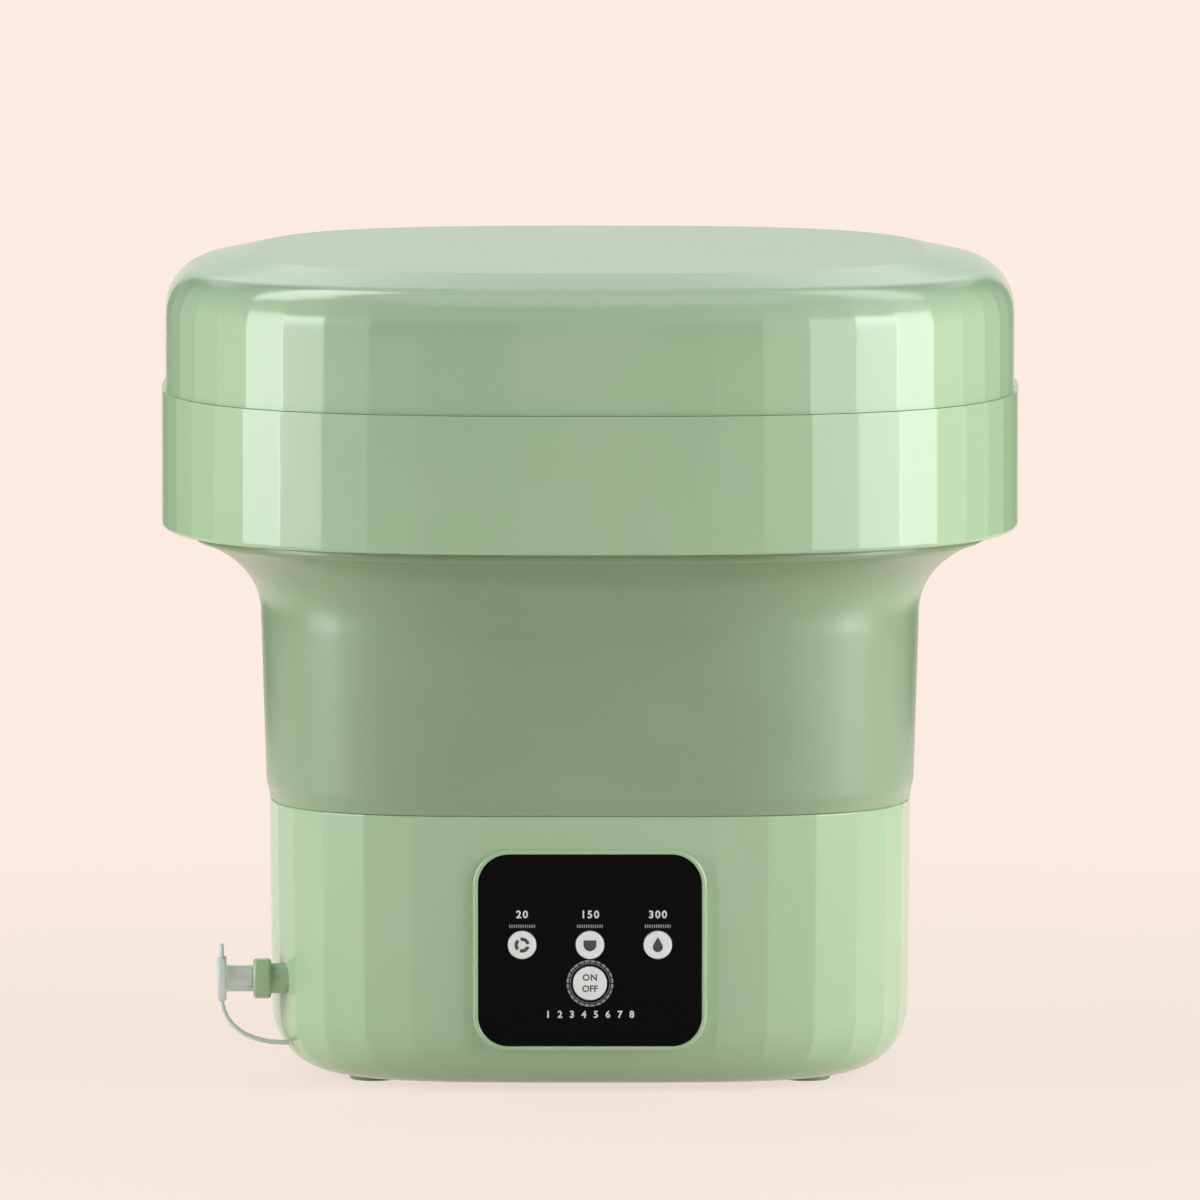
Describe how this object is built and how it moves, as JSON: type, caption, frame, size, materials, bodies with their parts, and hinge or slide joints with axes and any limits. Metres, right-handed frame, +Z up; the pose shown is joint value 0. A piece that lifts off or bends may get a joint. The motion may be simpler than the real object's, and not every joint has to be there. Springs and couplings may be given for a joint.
{
  "type": "folding mini washing machine",
  "caption": "Compact tabletop washing machine: a faceted base and a wider faceted collar joined by a soft folding wall, with a lift-off lid, a button panel and a plugged side drain.",
  "frame": {"origin": "on the floor under the middle of the machine, which stands on its feet", "axes": "+Z up, the control panel faces -Y, and the drain leaves on the -X side"},
  "size_m": [0.31, 0.31, 0.2955],
  "materials": {
    "housing": "sage green, satin gloss, faceted",
    "soft_wall": "sage green, satin",
    "panel_black": "black, high gloss",
    "white_plastic": "white, smooth",
    "clear_silicone": "clear, soft",
    "grey_rubber": "grey, matt",
    "nylon": "off-white, smooth",
    "circuit_board": "green, coated",
    "black_plastic": "black, fine grain",
    "steel": "bright",
    "motor_steel": "dull grey"
  },
  "bodies": {
    "base": {"base_shell": "housing", "bottom_cover": "housing", "wash_tub": "housing", "drain_spout": "housing", "spout_ring": "housing", "folding_wall": "soft_wall", "control_panel": "panel_black", "plug_tether": "clear_silicone", "drain_elbow": "clear_silicone", "shaft_seal": "grey_rubber", "drain_strainer": "nylon", "control_board": "circuit_board", "gearbox_housing": "black_plastic", "gearbox_cover": "black_plastic", "power_inlet": "black_plastic", "inlet_lead": "black_plastic", "motor_lead": "black_plastic", "lower_bearing": "steel", "upper_bearing": "steel", "inlet_nut": "steel", "motor_can": "motor_steel", "foot_1": "grey_rubber", "cover_screw_1": "steel", "gearbox_screw_1": "steel", "tact_switch_1": "black_plastic", "foot_2": "grey_rubber", "cover_screw_2": "steel", "gearbox_screw_2": "steel", "tact_switch_2": "black_plastic", "foot_3": "grey_rubber", "cover_screw_3": "steel", "gearbox_screw_3": "steel", "tact_switch_3": "black_plastic", "foot_4": "grey_rubber", "cover_screw_4": "steel", "gearbox_screw_4": "steel", "tact_switch_4": "black_plastic"},
    "collar": {"collar_shell": "housing", "sleeve_clamp_ring": "housing"},
    "lid": {"lid_shell": "housing", "lid_gasket": "grey_rubber"},
    "pulsator": {"pulsator": "white_plastic", "pulsator_screw": "steel", "drive_shaft": "steel", "output_gear": "nylon"},
    "motor_rotor": {"motor_shaft": "steel", "motor_pinion": "nylon"},
    "plug": {"drain_plug": "clear_silicone"},
    "mode_cap_1": {"mode_button_1": "white_plastic"},
    "mode_cap_2": {"mode_button_2": "white_plastic"},
    "mode_cap_3": {"mode_button_3": "white_plastic"},
    "start_cap": {"start_button": "white_plastic"}
  },
  "joints": [
    {"name": "fold", "type": "slide", "parent": "base", "child": "collar", "axis": [0, 0, 1], "range_m": [-0.092, 0], "deforming": ["folding_wall"]},
    {"name": "lid_lift", "type": "slide", "parent": "collar", "child": "lid", "axis": [0, 0, 1], "range_m": [0, 0.08]},
    {"name": "pulsator_spin", "type": "hinge", "parent": "base", "child": "pulsator", "pos_m": [0, 0, 0.065], "axis": [0, 0, 1], "continuous": true},
    {"name": "motor_spin", "type": "hinge", "parent": "base", "child": "motor_rotor", "pos_m": [0.036, 0, 0.049], "axis": [0, 0, 1], "continuous": true},
    {"name": "plug_pull", "type": "slide", "parent": "base", "child": "plug", "axis": [-1, 0, 0], "range_m": [0, 0.016]},
    {"name": "mode_1_press", "type": "slide", "parent": "base", "child": "mode_cap_1", "axis": [0, 1, 0], "range_m": [0, 0.0005], "stiffness_N_per_m": 1000},
    {"name": "mode_2_press", "type": "slide", "parent": "base", "child": "mode_cap_2", "axis": [0, 1, 0], "range_m": [0, 0.0005], "stiffness_N_per_m": 1000},
    {"name": "mode_3_press", "type": "slide", "parent": "base", "child": "mode_cap_3", "axis": [0, 1, 0], "range_m": [0, 0.0005], "stiffness_N_per_m": 1000},
    {"name": "start_press", "type": "slide", "parent": "base", "child": "start_cap", "axis": [0, 1, 0], "range_m": [0, 0.0005], "stiffness_N_per_m": 1000}
  ],
  "couplings": [
    {"joint": "motor_spin", "follows": "pulsator_spin", "ratio": -3}
  ]
}
